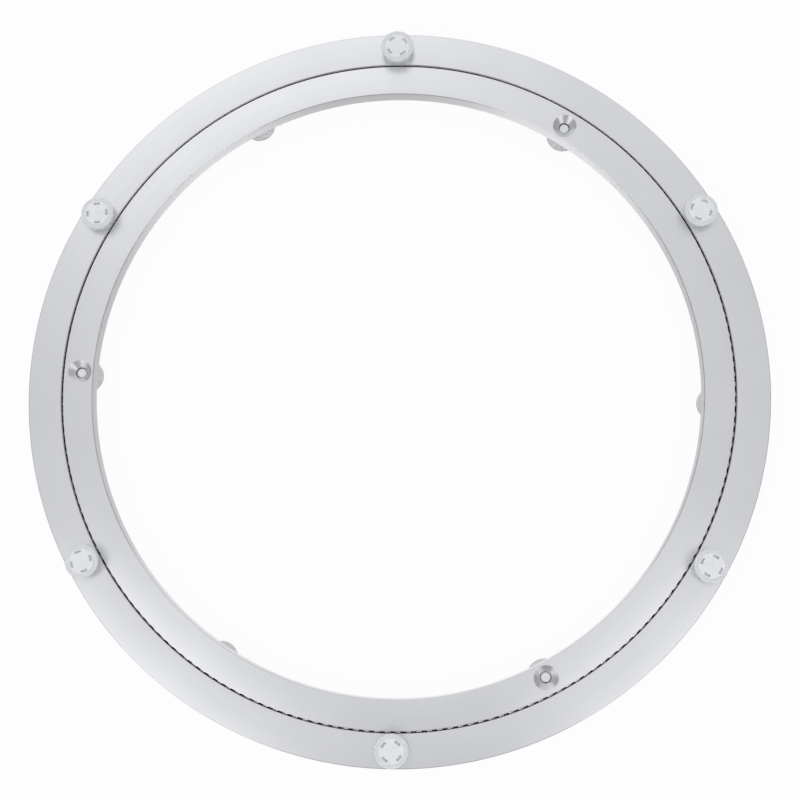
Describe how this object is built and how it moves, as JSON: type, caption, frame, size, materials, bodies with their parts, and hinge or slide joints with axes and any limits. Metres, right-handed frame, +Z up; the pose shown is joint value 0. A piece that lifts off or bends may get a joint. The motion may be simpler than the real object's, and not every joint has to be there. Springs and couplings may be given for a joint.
{
  "type": "lazy susan bearing",
  "caption": "Flat ring bearing for a turntable: an outer aluminium ring turns on steel balls round an inner ring that stands on clear silicone feet; matching pads carry the top.",
  "frame": {"origin": "on the turning axis, level with the undersides of the feet that the bearing stands on", "axes": "+Z up along the turning axis; +X to the right and +Y away from the viewer, as the picture shows the rings from above; the filler screw is near +X"},
  "size_m": [0.35, 0.35, 0.0206],
  "materials": {
    "ring_metal": "bright turned aluminium with fine concentric tool lines",
    "ball_steel": "polished bearing steel",
    "screw_steel": "plain steel",
    "silicone": "frosted clear silicone rubber"
  },
  "bodies": {
    "standing_ring": {"inner_ring": "ring_metal", "foot_pad_1": "silicone", "foot_pad_2": "silicone", "foot_pad_3": "silicone", "foot_pad_4": "silicone", "foot_pad_5": "silicone", "foot_pad_6": "silicone"},
    "turning_ring": {"outer_ring": "ring_metal", "filler_screw": "screw_steel", "top_pad_1": "silicone", "top_pad_2": "silicone", "top_pad_3": "silicone", "top_pad_4": "silicone", "top_pad_5": "silicone", "top_pad_6": "silicone"},
    "balls": {"steel_balls": "ball_steel"}
  },
  "joints": [
    {"name": "ring_spin", "type": "hinge", "parent": "standing_ring", "child": "turning_ring", "pos_m": [0, 0, 0.0103], "axis": [0, 0, 1], "continuous": true},
    {"name": "ball_orbit", "type": "hinge", "parent": "standing_ring", "child": "balls", "pos_m": [0, 0, 0.0103], "axis": [0, 0, 1], "continuous": true}
  ],
  "couplings": [
    {"joint": "ball_orbit", "follows": "ring_spin", "ratio": 0.50375}
  ]
}
